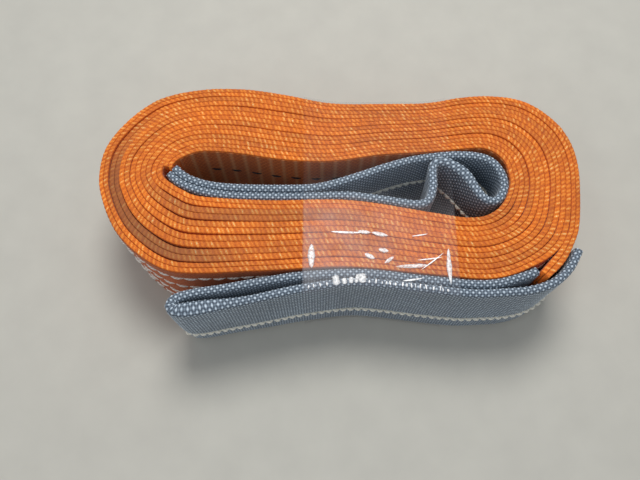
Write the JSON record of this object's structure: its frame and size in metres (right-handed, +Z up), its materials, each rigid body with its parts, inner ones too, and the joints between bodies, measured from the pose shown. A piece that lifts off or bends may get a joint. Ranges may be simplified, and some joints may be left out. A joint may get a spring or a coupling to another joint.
{
  "type": "flat web sling",
  "caption": "Flat webbing lifting sling with sleeved eyes, wound into a flat coil and held by a clear film band.",
  "frame": {"origin": "middle of the bounding box in plan, at the underside of the film band it rests on", "axes": "+X along the long side of the coil, +Y from the outer eye towards the back of the coil, +Z up along the width of the webbing"},
  "size_m": [0.2028, 0.1048, 0.051],
  "materials": {
    "webbing_orange": "matt woven polyester",
    "webbing_orange_inner": "matt woven polyester",
    "sleeve_grey": "coarse plain weave",
    "thread_white": "twisted sewing thread",
    "yarn_black": "woven marker yarn",
    "film_clear": "clear glossy film"
  },
  "bodies": {
    "coil": {"body_ply_outer": "webbing_orange", "body_ply_inner": "webbing_orange_inner", "body_stitch_row_1": "thread_white", "body_stitch_row_2": "thread_white", "body_stitch_row_3": "thread_white", "body_stitch_row_4": "thread_white", "body_tracer_yarn": "yarn_black", "inner_eye_webbing": "webbing_orange", "inner_eye_sleeve": "sleeve_grey", "inner_eye_seam_inside": "thread_white", "inner_eye_seam_outside": "thread_white", "outer_eye_webbing_held_far": "webbing_orange", "outer_eye_webbing_held_near": "webbing_orange", "outer_eye_sleeve_held_far": "sleeve_grey", "outer_eye_sleeve_held_near": "sleeve_grey", "outer_eye_seam_held": "thread_white", "packing_film_band": "film_clear", "packing_film_lap": "film_clear"},
    "outer_eye_mid": {"outer_eye_webbing_mid_far": "webbing_orange", "outer_eye_webbing_mid_near": "webbing_orange", "outer_eye_sleeve_mid_far": "sleeve_grey", "outer_eye_sleeve_mid_near": "sleeve_grey", "outer_eye_seam_mid": "thread_white"},
    "outer_eye_end": {"outer_eye_webbing_end": "webbing_orange", "outer_eye_sleeve_end": "sleeve_grey", "outer_eye_seam_end": "thread_white"}
  },
  "joints": [
    {"name": "outer_eye_swing", "type": "hinge", "parent": "coil", "child": "outer_eye_mid", "pos_m": [-0.01624, -0.04263, 0.0255], "axis": [0, 0, 1], "range_deg": [0, 50]},
    {"name": "outer_eye_tip_bend", "type": "hinge", "parent": "outer_eye_mid", "child": "outer_eye_end", "pos_m": [-0.04162, -0.0486, 0.0255], "axis": [0, 0, 1], "range_deg": [0, 40]}
  ]
}
